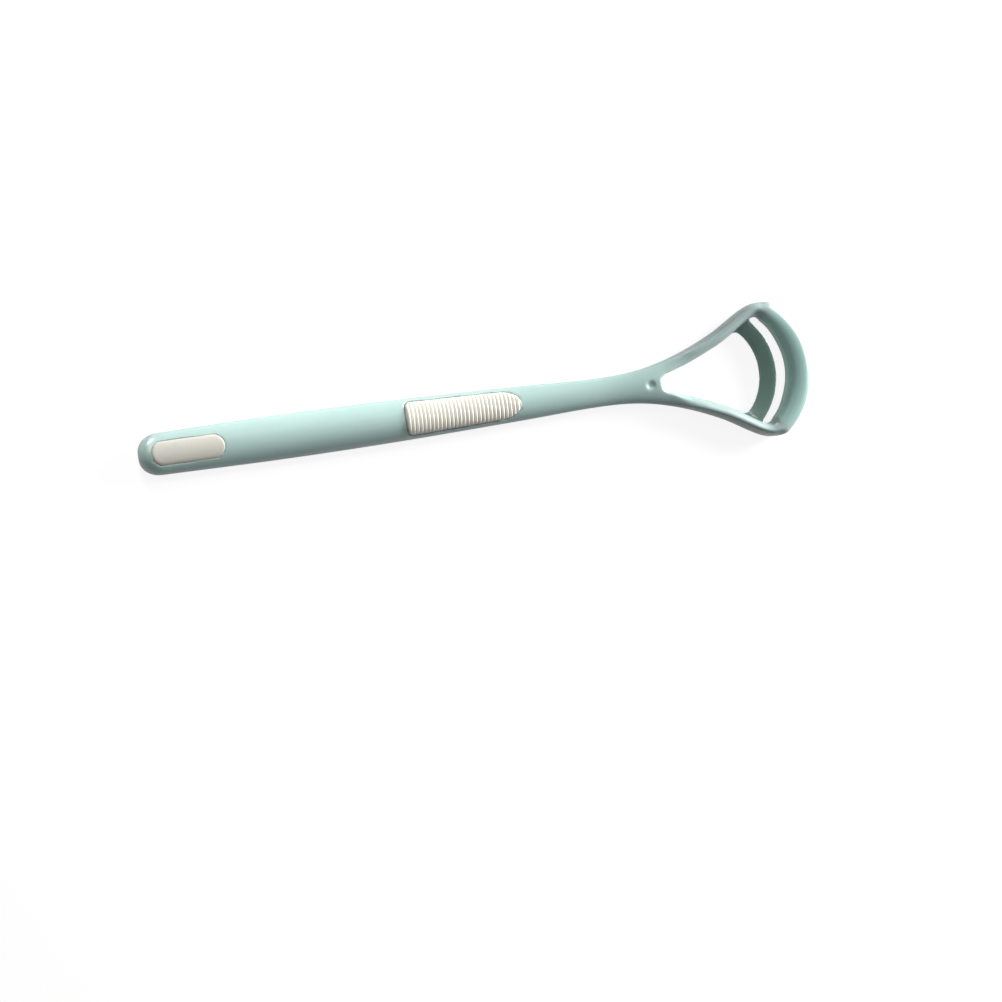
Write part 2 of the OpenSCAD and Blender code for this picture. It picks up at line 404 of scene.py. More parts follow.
@dataclass(frozen=True)
class Section:
    """Cross-section of one station, measured outwards from its inner edge."""

    width: float
    bottom_width: float
    height: float
    outer_shoulder: float
    inner_shoulder: float
    crown: float
    foot: float
    inner_foot: float
    outer_power: float = 2.0
    inner_power: float = 2.0
    middle: float = 0.0
    shared_dome: float = 0.0

    EDGE_STEPS = 4
    DOME_STEPS = 12

    def crown_height(self, distance: float) -> float:
        """Height of the top, on the handle's dome as far as the section shares it.

        Args:
            distance: Distance from the inner edge.

        Returns:
            The height above the underside.
        """
        share = min(1.0, (self.middle + distance) / (self.middle + self.width))
        dome = (self.height - self.outer_shoulder) * math.sqrt(1 - share * share)
        return mix(self.height, self.outer_shoulder + dome, self.shared_dome)

    def blend(self, other: "Section", share: float) -> "Section":
        """Mixes two sections.

        Args:
            other: The section at share 1.
            share: How far from this one to the other.

        Returns:
            The section between them.
        """
        names = self.__dataclass_fields__
        return Section(*(mix(getattr(self, n), getattr(other, n), share) for n in names))

    def points(self) -> list[tuple[float, float]]:
        """Traces the section round.

        Returns:
            Points as (distance from the inner edge, height), from the underside over the outer
            side to the crown and down the inner side.
        """
        edge = evenly(0.0, math.pi / 2, self.EDGE_STEPS)
        dome = evenly(0.0, math.pi / 2, self.DOME_STEPS)
        out, inn = 2 / self.outer_power, 2 / self.inner_power
        traced = [(self.inner_foot, 0.0)]
        traced += [
            (self.bottom_width - self.foot * (1 - math.sin(a)), self.foot * (1 - math.cos(a)))
            for a in edge
        ]
        for a in dome:
            distance = self.crown + (self.width - self.crown) * math.cos(a)
            top = self.outer_shoulder + (self.height - self.outer_shoulder) * math.sin(a) ** out
            if self.shared_dome:
                top = min(top, self.crown_height(distance))
            traced.append((distance, top))
        for a in dome[1:]:
            distance = self.crown * (1 - math.sin(a))
            top = self.crown_height(distance) if self.shared_dome else self.height
            rise = (top - self.inner_shoulder) * max(0.0, math.cos(a)) ** inn
            traced.append((distance, self.inner_shoulder + rise))
        traced += [
            (self.inner_foot * (1 - math.cos(a)), self.foot * (1 - math.sin(a)))
            for a in edge[:-1]
        ]
        return traced


@dataclass(frozen=True)
class Station:
    """A section stood on the line from an inner to an outer point."""

    inner: tuple[float, float]
    outer: tuple[float, float]
    section: Section
    lift: float

    def ring(self) -> list[Vector]:
        """Places the section's points in space.

        Returns:
            The ring in metres.
        """
        start, end = Vector(self.inner), Vector(self.outer)
        along = (end - start).normalized()
        ring = []
        for distance, height in self.section.points():
            place = start + along * distance
            ring.append(in_metres(place.x, place.y, self.lift + height))
        return ring


@dataclass
class HandleShape:
    """The handle's own curves, which the pad and the inset follow too."""

    length: float = 125.0
    width: float = 10.1
    tail_thickness: float = 4.9
    thickness_at_pad: float = 5.6
    neck_width: float = 6.5
    neck_thickness: float = 3.8
    fork_thickness: float = 4.0
    neck_place: float = 110.0
    pad_start: float = 62.8
    corner_place: float = 150.5
    head_width: float = 30.5
    blade_height: float = 4.5
    side_height: float = 2.2
    lift: float = 0.3
    handle_shares: tuple[tuple[float, float], ...] = ((0.3, 1.0), (0.54, 0.95), (0.83, 0.77))
    flare_shares: tuple[tuple[float, float], ...] = (
        (0.24, 0.045),
        (0.465, 0.22),
        (0.695, 0.53),
        (0.91, 0.935),
    )
    tail_share: float = 0.95
    slope_reach: float = 0.5

    def outer_edge(self, x: float) -> float:
        """Half width of the handle, or distance of an arm's outer edge, at x.

        Args:
            x: Distance from the tail end.

        Returns:
            The distance from the middle line.
        """
        half, neck = self.width / 2, self.neck_width / 2
        flare_length, flare = self.corner_place - self.neck_place, self.head_width / 2 - neck
        points = (
            (0.0, half * self.tail_share),
            *((self.neck_place * place, half * share) for place, share in self.handle_shares),
            (self.neck_place, neck),
            *(
                (self.neck_place + flare_length * place, neck + flare * share)
                for place, share in self.flare_shares
            ),
            (self.corner_place, self.head_width / 2),
        )
        return curve(points, x)

    def edge_slope(self, x: float) -> float:
        """Slope of the outer edge at x."""
        reach = self.slope_reach
        return (self.outer_edge(x + reach) - self.outer_edge(x - reach)) / (2 * reach)

    def thickness(self, x: float) -> float:
        """Thickness of the handle or an arm, from the underside to the crown.

        Args:
            x: Distance from the tail end.

        Returns:
            The thickness there.
        """
        points = (
            (0.0, self.tail_thickness),
            (self.pad_start, self.thickness_at_pad),
            (self.neck_place, self.neck_thickness),
            (self.length, self.fork_thickness),
            (self.corner_place, self.blade_height),
        )
        return curve(points, x)

    def lift_at(self, x: float) -> float:
        """Height of the underside above the flat back at x."""
        return self.lift * smooth_step((x - self.neck_place) / (self.length - self.neck_place))

    def top(self, x: float, y: float) -> float:
        """Height of the handle's surface.

        Args:
            x: Distance from the tail end.
            y: Distance from the middle line.

        Returns:
            The height above the flat back.
        """
        share = min(1.0, abs(y) / self.outer_edge(x))
        dome = (self.thickness(x) - self.side_height) * math.sqrt(1 - share * share)
        return self.lift_at(x) + self.side_height + dome


@dataclass
class ScraperBody:
    """The one-piece moulding: handle, two arms, outer and inner blade."""

    shape: HandleShape
    finish: MouldedFinish
    tail_round: float = 5.0
    tail_power: float = 0.9
    tail_top_power: float = 3.5
    tail_bottom_round: float = 2.1
    tail_rise_share: float = 0.8
    tail_sweep: float = 88.0
    tail_spacing: float = 1.5
    back_round: float = 1.2
    foot_share: float = 0.3
    arm_width: float = 2.95
    window_end: float = 2.2
    arm_blend: float = 7.0
    arm_power: float = 1.5
    window_shift: float = 0.5
    corner_fullness: float = 0.41
    dome_blend: float = 10.0
    arm_crown_share: float = 0.69
    corner_crown_share: float = 0.62
    crown_start: float = 5.0
    crown_reach: float = 16.0
    blade_place: float = 141.0
    blade_radius: float = 19.0
    blade_reach: float = 4.85
    blade_reach_end: float = 4.35
    blade_bottom: float = 2.65
    blade_bottom_end: float = 3.55
    blade_angle: float = 50.0
    blade_rim: float = 1.5
    corner_rim: float = 1.9
    rim_blend_start: float = 18.0
    blade_outer_shoulder: float = 3.8
    corner_shoulder: float = 3.3
    blade_inner_shoulder: float = 3.0
    blade_foot: float = 0.35
    blade_power: float = 1.9
    inner_place: float = 136.2
    inner_radius: float = 16.0
    inner_reach: float = 3.25
    inner_height: float = 3.5
    inner_bottom: float = 1.7
    inner_rim: float = 0.45
    inner_foot_height: float = 0.5
    inner_foot_share: float = 0.8
    inner_rim_height: float = 0.4
    inner_edge_cut: float = 0.15
    least_bottom: float = 0.6
    inner_power: float = 1.1
    inner_angle: float = 60.0
    slot_round: float = 1.7
    slot_dip: float = 1.15
    window_fillet: float = 6.0
    foot_depth: float = 0.12
    root_depth: float = 0.5
    slot_root: float = 1.2
    slot_flare: float = 0.35
    # Painted light and shade: where the tint lies and how it multiplies the moulding's colour
    tint_reach: float = 0.8
    tint_angle: float = 9.0
    tint_start: float = 0.3
    arm_tint_reach: float = 14.0
    arm_painted_shade: tuple[float, float, float] = (0.94, 0.87, 0.88)
    blade_painted_glow: tuple[float, float, float] = (0.99, 1.16, 1.12)
    rim_painted_shade: tuple[float, float, float] = (0.79, 0.86, 0.85)
    inner_painted_shade: tuple[float, float, float] = (0.62, 0.71, 0.66)
    dimple_place: float = 121.9
    dimple_radius: float = 1.15
    dimple_depth: float = 0.42
    dimple_segments: int = 48
    voxel: float = 0.25
    smoothing: int = 6
    smoothing_factor: float = 0.5
    ray_halvings: int = 24
    weld: float = 0.002
    mirror_weld: float = 0.01
    on_middle: float = 0.001
    tail_steps: int = 10
    handle_steps: int = 80
    window_steps: int = 8
    arm_steps: int = 36
    corner_steps: int = 16
    blade_steps: int = 24
    inner_steps: int = 168
    rim_steps: int = 8
    slope_steps: int = 12

    def tail_stations(self) -> list[Station]:
        """Sets out the rounded tail end.

        Returns:
            Its stations, from the tip inwards.
        """
        stations = []
        full = math.sin(math.radians(self.tail_sweep))
        side, power = self.shape.side_height, self.tail_top_power
        for step in range(self.tail_steps):
            left = 1 - (step / self.tail_steps) ** self.tail_spacing
            angle = math.radians(self.tail_sweep * left)
            x = self.tail_round * (1 - math.sin(angle) / full)
            half = self.shape.outer_edge(self.tail_round) * math.cos(angle) ** self.tail_power
            level = (1 - (1 - x / self.tail_round) ** power) ** (1 / power)
            height = side + (self.shape.thickness(self.tail_round) - side) * level
            under = max(0.0, 1 - x / self.tail_bottom_round)
            round_rise = self.tail_bottom_round * (1 - math.sqrt(1 - under * under))
            rise = round_rise * self.tail_rise_share
            section = self.handle_section(half, height - rise, side - rise)
            stations.append(Station((x, 0.0), (x, half), section, rise))
        return stations

    def handle_section(self, half: float, height: float, side: float) -> Section:
        """Domed half section of the handle.

        Args:
            half: Half width.
            height: Height of the crown on the middle line.
            side: Height up to which the side stands upright.

        Returns:
            The section from the middle line outwards.
        """
        return Section(
            width=half,
            bottom_width=half,
            height=height,
            outer_shoulder=side,
            inner_shoulder=side,
            crown=0.0,
            foot=min(self.back_round, half * self.foot_share),
            inner_foot=0.0,
        )

    def handle_station(self, x: float) -> Station:
        """Sets out the handle at one place.

        Args:
            x: Distance from the tail end.

        Returns:
            The station there.
        """
        half = self.shape.outer_edge(x)
        section = self.handle_section(half, self.shape.thickness(x), self.shape.side_height)
        return Station((x, 0.0), (x, half), section, self.shape.lift_at(x))

    def window_edge(self, x: float) -> float:
        """Inner edge of an arm, round at the window's end by the fork.

        Args:
            x: Distance from the tail end.

        Returns:
            The edge's distance from the middle line.
        """
        start, reach = self.shape.length - self.window_shift, self.window_end
        at = max(x, start + reach)
        slope = self.shape.edge_slope(at)
        edge = self.shape.outer_edge(at) - self.arm_width * math.sqrt(1 + slope * slope)
        edge -= self.slot_dip * max(0.0, 1 - (self.shape.corner_place - x) / self.slot_round) ** 2
        u = min(1.0, (x - start) / reach)
        return edge * math.sqrt(max(0.0, 1 - (1 - u) ** 2))

    def spread(self, radius: float, angle: float, root: float, flare: float) -> float:
        """How far an edge of the inner blade spreads where it comes close to an arm.

        Args:
            radius: The edge's distance from the inner blade's centre.
            angle: Angle from the middle line, in degrees.
            root: Distance from the arm at which the edge starts to spread.
            flare: The full spread, at the arm.

        Returns:
            The spread there.
        """
        turn = math.radians(abs(angle))
        x, y = self.inner_place + radius * math.cos(turn), radius * math.sin(turn)
        gap = max(0.0, self.window_edge(x) - y)
        return flare * max(0.0, 1 - gap / root) ** 2

    def arm_distance(self, angle: float, depth: float) -> float:
        """Distance from the inner blade's centre to an arm, along a ray.

        Args:
            angle: The ray's angle from the middle line, in degrees.
            depth: Share of the arm's width, from its inner edge, to which the ray runs.

        Returns:
            The distance.
        """
        turn = math.radians(abs(angle))
        near, far = 0.0, 2 * self.inner_radius
        for _ in range(self.ray_halvings):
            reach = (near + far) / 2
            x = min(self.shape.corner_place, self.inner_place + reach * math.cos(turn))
            line = mix(self.window_edge(x), self.shape.outer_edge(x), depth)
            near, far = (reach, far) if reach * math.sin(turn) < line else (near, reach)
        return near

    def painted_light_at(self, x: float, y: float) -> tuple[float, ...]:
        """Painted light and shade on the moulding at a place.

        Painted shade makes the arms a little greyer than the handle and the inner blade deeper; a
        painted glow makes the outer blade paler by the slot, and painted shade deepens its rim.

        Args:
            x: Distance from the tail end.
            y: Distance from the middle line.

        Returns:
            Red, green and blue, by which the plastic's colour is multiplied, and full alpha.
        """
        arm_share = smooth_step((x - self.shape.length) / self.arm_tint_reach)
        arm = [mix(1.0, part, arm_share) for part in self.arm_painted_shade]
        if x < self.shape.length + self.window_end:
            return (*arm, 1.0)
        # Painted shade on the inner blade; painted glow by the slot and painted shade at the outer
        # rim
        if math.hypot(x - self.inner_place, y) < self.inner_radius + self.tint_reach:
            blade = self.inner_painted_shade
        else:
            foot = self.blade_radius - self.blade_reach
            across = smooth_step((math.hypot(x - self.blade_place, y) - foot) / self.blade_reach)
            blade = [mix(one, other, across) for one, other in zip(self.blade_painted_glow, self.rim_painted_shade)]
        if x > self.shape.corner_place:
            angle = math.degrees(math.atan2(abs(y), x - self.blade_place))
            inside = (self.blade_angle - angle) / self.tint_angle
        else:
            inside = (self.window_edge(x) - abs(y)) / self.tint_reach
        share = smooth_step(inside + self.tint_start)
        return (*(mix(one, other, share) for one, other in zip(arm, blade)), 1.0)

    def arm_station(self, x: float) -> Station:
        """Sets out an arm at one place.

        Args:
            x: Distance from the tail end.

        Returns:
            The station there.
        """
        inner, outer = self.window_edge(x), self.shape.outer_edge(x)
        width, past = outer - inner, x - self.shape.length
        parted, own_dome = smooth_step(past / self.arm_blend), smooth_step(past / self.dome_blend)
        towards = smooth_step((past - self.crown_start) / self.crown_reach)
        foot = min(self.back_round, width * self.foot_share)
        section = Section(
            width=width,
            bottom_width=width,
            height=self.shape.thickness(x),
            outer_shoulder=self.shape.side_height,
            inner_shoulder=self.shape.side_height,
            crown=mix(self.arm_crown_share * parted, self.corner_crown_share, towards) * width,
            foot=foot,
            inner_foot=foot * parted,
            outer_power=mix(Section.outer_power, self.arm_power, own_dome),
            inner_power=self.arm_power,
            middle=inner,
            shared_dome=1 - own_dome,
        )
        return Station((x, inner), (x, outer), section, self.shape.lift)

    def on_blade(self, radius: float, angle: float) -> tuple[float, float]:
        """Place on a circle round the outer blade's centre."""
        turn = math.radians(angle)
        return (self.blade_place + radius * math.cos(turn), radius * math.sin(turn))

    def blade_station(self, angle: float) -> Station:
        """Sets out the outer blade at one angle.

        Args:
            angle: Angle from the middle line, in degrees.

        Returns:
            The station there.
        """
        span = self.blade_angle - self.rim_blend_start
        end = smooth_step((abs(angle) - self.rim_blend_start) / span)
        reach = mix(self.blade_reach, self.blade_reach_end, end)
        section = Section(
            width=reach,
            bottom_width=mix(self.blade_bottom, self.blade_bottom_end, end),
            height=self.shape.blade_height,
            outer_shoulder=mix(self.blade_outer_shoulder, self.corner_shoulder, end),
            inner_shoulder=self.blade_inner_shoulder,
            crown=reach - mix(self.blade_rim, self.corner_rim, end),
            foot=self.blade_foot,
            inner_foot=self.blade_foot,
            outer_power=self.blade_power,
            inner_power=self.blade_power,
        )
        inner = self.on_blade(self.blade_radius - reach, angle)
        return Station(inner, self.on_blade(self.blade_radius, angle), section, self.shape.lift)

    def corner_station(self, u: float) -> Station:
        """Station of the corner, which turns from the arm into the outer blade.

        Args:
            u: Share of the way round the corner.

        Returns:
            The station there.
        """
        arm, blade = self.arm_station(self.shape.corner_place), self.blade_station(self.blade_angle)
        start, end = Vector(arm.outer), Vector(blade.outer)
        turn = math.radians(self.blade_angle)
        reach = (end - start).length * self.corner_fullness
        out_handle = start + Vector((reach, 0.0))
        in_handle = end - Vector((math.sin(turn), -math.cos(turn))) * reach
        outer = (
            start * (1 - u) ** 3
            + out_handle * 3 * u * (1 - u) ** 2
            + in_handle * 3 * u * u * (1 - u)
            + end * u**3
        )
        inner = Vector(arm.inner).lerp(Vector(blade.inner), u)
        width = (outer - inner).length
        section = arm.section.blend(blade.section, smooth_step(u))
        wide = mix(arm.section.width, blade.section.width, smooth_step(u))
        section = replace(
            section,
            width=width,
            bottom_width=section.bottom_width * width / wide,
            crown=section.crown * width / wide,
        )
        return Station(tuple(inner), tuple(outer), section, self.shape.lift)

    def half_rings(self) -> list[list[Vector]]:
        """Sets out the half body.

        Returns:
            Its rings, from the tail round to the outer blade's middle.
        """
        length = self.shape.length - self.window_shift
        start, corner = length + self.window_end, self.shape.corner_place
        handle = evenly(self.tail_round, length, self.handle_steps)
        window = evenly(0.0, math.pi / 2, self.window_steps)[1:]
        arm = [length + self.window_end * (1 - math.cos(turn)) for turn in window]
        arm += evenly(start, corner, self.arm_steps)[1:]
        shares = evenly(0.0, 1.0, self.corner_steps)[1:]
        angles = evenly(self.blade_angle, 0.0, self.blade_steps)[1:]
        stations = [
            *self.tail_stations(),
            *(self.handle_station(x) for x in handle),
            *(self.arm_station(x) for x in arm),
            *(self.corner_station(share) for share in shares),
            *(self.blade_station(angle) for angle in angles),
        ]
        return [station.ring() for station in stations]

    def inner_blade_ring(self, angle: float) -> list[Vector]:
        """Ring of the inner blade, whose two roots blend into the arms.

        Args:
            angle: Angle from the middle line, in degrees.

        Returns:
            The ring in metres.
        """
        edge = self.inner_radius - self.inner_reach
        arm = self.arm_distance(angle, self.foot_depth)
        foot = rounded_min(edge, arm, self.window_fillet)
        outer = self.inner_radius + self.spread(
            self.inner_radius, angle, self.slot_root, self.slot_flare
        )
        reach = min(outer, self.arm_distance(angle, self.root_depth)) - foot
        height, low = self.inner_height, self.inner_foot_height
        bottom = max(self.least_bottom, reach - self.inner_reach + self.inner_bottom)
        cut, rim, rim_height = self.inner_edge_cut, self.inner_rim / 2, self.inner_rim_height
        section = [(cut, 0.0), (bottom - cut, 0.0), (bottom, cut)]
        for a in evenly(0.0, math.pi, self.rim_steps):
            top = height - rim_height + rim_height * math.sin(a)
            section.append((reach - rim + rim * math.cos(a), top))
        span, rise = reach - self.inner_rim, height - rim_height - low
        power = 2 / self.inner_power
        for a in evenly(math.pi / 2, 0.0, self.slope_steps)[1:-1]:
            section.append((span * math.sin(a) ** power, low + rise * (1 - math.cos(a) ** power)))
        section += [(0.0, low * self.inner_foot_share), (0.0, cut)]
        turn = math.radians(angle)
        ring = []
        for distance, z in section:
            radius = foot + distance
            x = self.inner_place + radius * math.cos(turn)
            ring.append(in_metres(x, radius * math.sin(turn), self.shape.lift + z))
        return ring

    def half_to_whole(self, half: bpy.types.Object) -> None:
        """Opens the half body along the middle line and mirrors it.

        Args:
            half: The swept half body.
        """
        select_only(half)
        bpy.ops.object.mode_set(mode="EDIT")
        bpy.ops.mesh.select_mode(type="FACE")
        bpy.ops.mesh.select_all(action="DESELECT")
        shape = bmesh.from_edit_mesh(half.data)
        for face in shape.faces:
            face.select_set(all(abs(v.co.y) < MM * self.on_middle for v in face.verts))
        bpy.ops.mesh.delete(type="FACE")
        bpy.ops.object.mode_set(mode="OBJECT")
        settings = {
            "use_axis": (False, True, False),
            "use_mirror_merge": True,
            "merge_threshold": MM * self.mirror_weld,
        }
        apply_modifier(half, "MIRROR", settings)
        bpy.ops.object.mode_set(mode="EDIT")
        bpy.ops.mesh.select_mode(type="VERT")
        bpy.ops.mesh.select_all(action="SELECT")
        bpy.ops.mesh.remove_doubles(threshold=MM * self.weld)
        bpy.ops.mesh.normals_make_consistent(inside=False)
        bpy.ops.object.mode_set(mode="OBJECT")

    def cut_dimple(self, body: bpy.types.Object) -> None:
        """Presses the round dimple before the fork.

        Args:
            body: The body so far.
        """
        radius = (self.dimple_radius**2 + self.dimple_depth**2) / (2 * self.dimple_depth)
        top = self.shape.top(self.dimple_place, 0.0)
        bpy.ops.object.select_all(action="DESELECT")
        bpy.ops.mesh.primitive_uv_sphere_add(
            segments=self.dimple_segments,
            ring_count=self.dimple_segments // 2,
            radius=radius * MM,
            location=in_metres(self.dimple_place, 0.0, top + radius - self.dimple_depth),
        )
        apply_boolean(body, bpy.context.object, Cut.TAKE_OUT)

    def build(self, cutters: list[bpy.types.Object]) -> bpy.types.Object:
        """Models the body.

        Args:
            cutters: The tools that cut the pockets, which are used up.

        Returns:
            The finished piece.
        """
        body = sweep("scraper_body", self.half_rings(), Cap.START)
        self.half_to_whole(body)
        for cutter in cutters:
            apply_boolean(body, cutter, Cut.TAKE_OUT)
        self.cut_dimple(body)
        turns = evenly(-self.inner_angle, self.inner_angle, self.inner_steps)
        blade = sweep("inner_blade", [self.inner_blade_ring(turn) for turn in turns], Cap.BOTH)
        blade.select_set(True)
        body.select_set(True)
        bpy.context.view_layer.objects.active = body
        bpy.ops.object.join()
        apply_modifier(body, "REMESH", {"mode": "VOXEL", "voxel_size": self.voxel * MM})
        settings = {"factor": self.smoothing_factor, "iterations": self.smoothing}
        apply_modifier(body, "SMOOTH", settings)
        bpy.ops.object.shade_smooth()
        # Paints light and shade into the colour, a tint on each vertex by its place
        painted_tints = body.data.attributes.new(PAINTED_LIGHT_ATTRIBUTE, "FLOAT_COLOR", "POINT")
        shift = OVERALL_LENGTH / 2
        for vertex, value in zip(body.data.vertices, painted_tints.data):
            value.color = self.painted_light_at(vertex.co.x / MM + shift, vertex.co.y / MM)
        body.data.materials.clear()
        body.data.materials.append(self.finish.make())
        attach(body, "root")
        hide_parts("body")
        return body


@dataclass
class Pocket:
    """An outline on the handle, with a flat floor, that holds a soft piece."""

    shape: HandleShape
    start: float
    length: float
    floor: float
    anchor_radius: float = 1.1
    anchor_depth: float = 1.2
    anchor_shares: tuple[float, ...] = (0.25, 0.7)
    anchor_overlap: float = 0.5
    anchor_sides: int = 32
    clearance: float = 0.05
    cut_height: float = 6.0
    least_half: float = 0.12
    outline_steps: int = 96

    @property
    def end(self) -> float:
        """The far end of the outline."""
        return self.start + self.length

    def half_width(self, x: float) -> float:
        """Half width of the outline at x."""
        raise NotImplementedError

    def cutter(self) -> bpy.types.Object:
        """Makes the tool that cuts the pocket.

        Returns:
            A closed mesh.
        """
        grow = self.clearance
        places = close_at_ends(self.start, self.length, self.outline_steps)
        side = [(x, self.half_width(x) + grow) for x in places]
        side[0] = (self.start - grow, side[0][1])
        side[-1] = (self.end + grow, side[-1][1])
        outline = side + [(x, -y) for x, y in reversed(side)]
        levels = (self.floor, self.floor + self.cut_height)
        rings = [[in_metres(x, y, level) for x, y in outline] for level in levels]
        return sweep("pocket", rings, Cap.BOTH)

    def anchor(self, share: float, radius: float, low: float, high: float) -> bpy.types.Object:
        """Makes one anchor rod.

        Args:
            share: Its place along the outline, from 0 to 1.
            radius: Its radius.
            low: Height of its lower end.
            high: Height of its upper end.

        Returns:
            A closed cylinder.
        """
        bpy.ops.object.select_all(action="DESELECT")
        bpy.ops.mesh.primitive_cylinder_add(
            vertices=self.anchor_sides,
            radius=radius * MM,
            depth=(high - low) * MM,
            location=in_metres(self.start + self.length * share, 0.0, (low + high) / 2),
        )
        return bpy.context.object

    def anchor_cutters(self) -> list[bpy.types.Object]:
        """Makes the tools that bore the anchor holes.

        Returns:
            One closed cylinder to each hole.
        """
        radius, depth = self.anchor_radius + self.clearance, self.anchor_depth + self.clearance * 2
        low, high = self.floor - depth, self.floor + depth
        return [self.anchor(share, radius, low, high) for share in self.anchor_shares]

    def add_anchors(self, piece: bpy.types.Object) -> None:
        """Adds the anchor plugs under a soft piece.

        Args:
            piece: The soft piece.
        """
        radius = self.anchor_radius - self.clearance
        low, high = self.floor - self.anchor_depth, self.floor + self.anchor_overlap
        for share in self.anchor_shares:
            apply_boolean(piece, self.anchor(share, radius, low, high), Cut.ADD)


@dataclass
class PadPocket(Pocket):
    """The thumb pad's outline: two round corners at the tail side and a long rounded nose."""

    start: float = HandleShape.pad_start
    length: float = 27.9
    floor: float = 3.0
    border: float = 0.9
    corner: float = 1.75
    nose: float = 5.9
    nose_power: float = 2.25

    def half_width(self, x: float) -> float:
        """Half width of the pad's outline.

        Args:
            x: Distance from the tail end.

        Returns:
            The outline's distance from the middle line.
        """
        nose_place = self.end - self.nose
        if x < self.start + self.corner:
            line = self.shape.outer_edge(self.start) - self.border - self.corner
            left = self.corner - (x - self.start)
            return line + math.sqrt(max(0.0, self.corner**2 - left**2))
        if x <= nose_place:
            return self.shape.outer_edge(x) - self.border
        share = min(1.0, (x - nose_place) / self.nose)
        wide = self.shape.outer_edge(nose_place) - self.border
        half = wide * (1 - share**self.nose_power) ** (1 / self.nose_power)
        return max(self.least_half, half)


@dataclass
class InsetPocket(Pocket):
    """The tail inset's outline: straight sides and two half-round ends."""

    start: float = 2.4
    length: float = 17.2
    floor: float = 3.3
    width: float = 5.3

    def half_width(self, x: float) -> float:
        """Half width of the inset's outline.

        Args:
            x: Distance from the tail end.

        Returns:
            The outline's distance from the middle line.
        """
        radius = self.width / 2
        left = max(0.0, self.start + radius - x, x - (self.end - radius))
        return max(self.least_half, math.sqrt(max(0.0, radius * radius - left * left)))


@dataclass
class SoftPiece:
    """A soft piece that is moulded into a pocket of the handle."""

    pocket: Pocket
    finish: MouldedFinish
    floor_gap: float = 0.02
    least_half: float = 0.15
    across: int = 28
    sharp_edge: float = 50.0

    def mould(self, name: str, rings: list[list[Vector]]) -> bpy.types.Object:
        """Models the piece with its anchor plugs and gives it its finish.

        Args:
            name: The piece's name.
            rings: Its rings along the handle.

        Returns:
            The piece, shaded smooth but for its sharp edges.
        """
        piece = sweep(name, rings, Cap.BOTH)
        self.pocket.add_anchors(piece)
        select_only(piece)
        bpy.ops.object.shade_smooth_by_angle(angle=math.radians(self.sharp_edge))
        piece.data.materials.append(self.finish.make())
        return piece


@dataclass
class ThumbPad(SoftPiece):
    """The soft pad, with rounded ribs across it."""

    pocket: PadPocket
    gap: float = 0.03
    tail_gap: float = 0.42
    rise: float = 0.56
    groove: float = -0.22
    rib_pitch: float = 0.94
    rib_share: float = 0.43
    rib_end: float = 0.85
    rib_power: float = 0.6
    rib_phase: float = 0.29
    steps_to_rib: int = 12
    nose_blend: float = 3.0
    end_share: float = 0.7
    across_power: float = 0.8

    def rib(self, x: float) -> float:
        """Height share of the ribs.

        Args:
            x: Distance from the tail end.

        Returns:
            The share, from 0 in a groove to 1 on a rib.
        """
        turns = (x - self.pocket.start - self.rib_pitch / 2) / self.rib_pitch - self.rib_phase
        off = abs(turns - round(turns))
        return max(0.0, 1 - (off / self.rib_share) ** 2) ** self.rib_power

    def stations(self) -> list[float]:
        """Places the pad's rings.

        Returns:
            Their distances from the tail end, several to each rib.
        """
        first, last = self.pocket.start + self.tail_gap, self.pocket.end - self.gap
        count = int((last - first) / (self.rib_pitch / self.steps_to_rib))
        return evenly(first, last, count)

    def half_width(self, x: float) -> float:
        """Half width of the pad, inside its pocket.

        Args:
            x: Distance from the tail end.

        Returns:
            The distance of the pad's side from the middle line.
        """
        pocket = self.pocket
        if x < pocket.start + pocket.corner:
            stretch = pocket.corner / (pocket.corner - self.tail_gap)
            at = pocket.start + (x - pocket.start - self.tail_gap) * stretch
        else:
            at = x + self.gap * smooth_step(1 + (x - pocket.end) / self.nose_blend)
        return max(self.least_half, pocket.half_width(min(at, pocket.end)) - self.gap)

    def ring(self, x: float) -> list[Vector]:
        """Ring of the pad at x.

        Args:
            x: Distance from the tail end.

        Returns:
            The ring in metres.
        """
        half = self.half_width(x)
        floor = self.pocket.floor + self.floor_gap
        ring = [in_metres(x, -half, floor), in_metres(x, half, floor)]
        end = min(self.rib_end, half * self.end_share)
        for turn in evenly(0.0, math.pi, self.across):
            share = math.cos(turn)
            y = half * math.copysign(abs(share) ** self.across_power, share)
            drop = max(0.0, 1 - (half - abs(y)) / end)
            rib = self.rib(x) * math.sqrt(max(0.0, 1 - drop * drop))
            top = self.pocket.shape.top(x, y) + self.groove + (self.rise - self.groove) * rib
            ring.append(in_metres(x, y, top))
        return ring

    def build(self) -> bpy.types.Object:
        """Models the pad.

        Returns:
            The finished piece.
        """
        pad = self.mould("thumb_pad", [self.ring(x) for x in self.stations()])
        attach(pad, "root")
        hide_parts("grip_pad")
        return pad


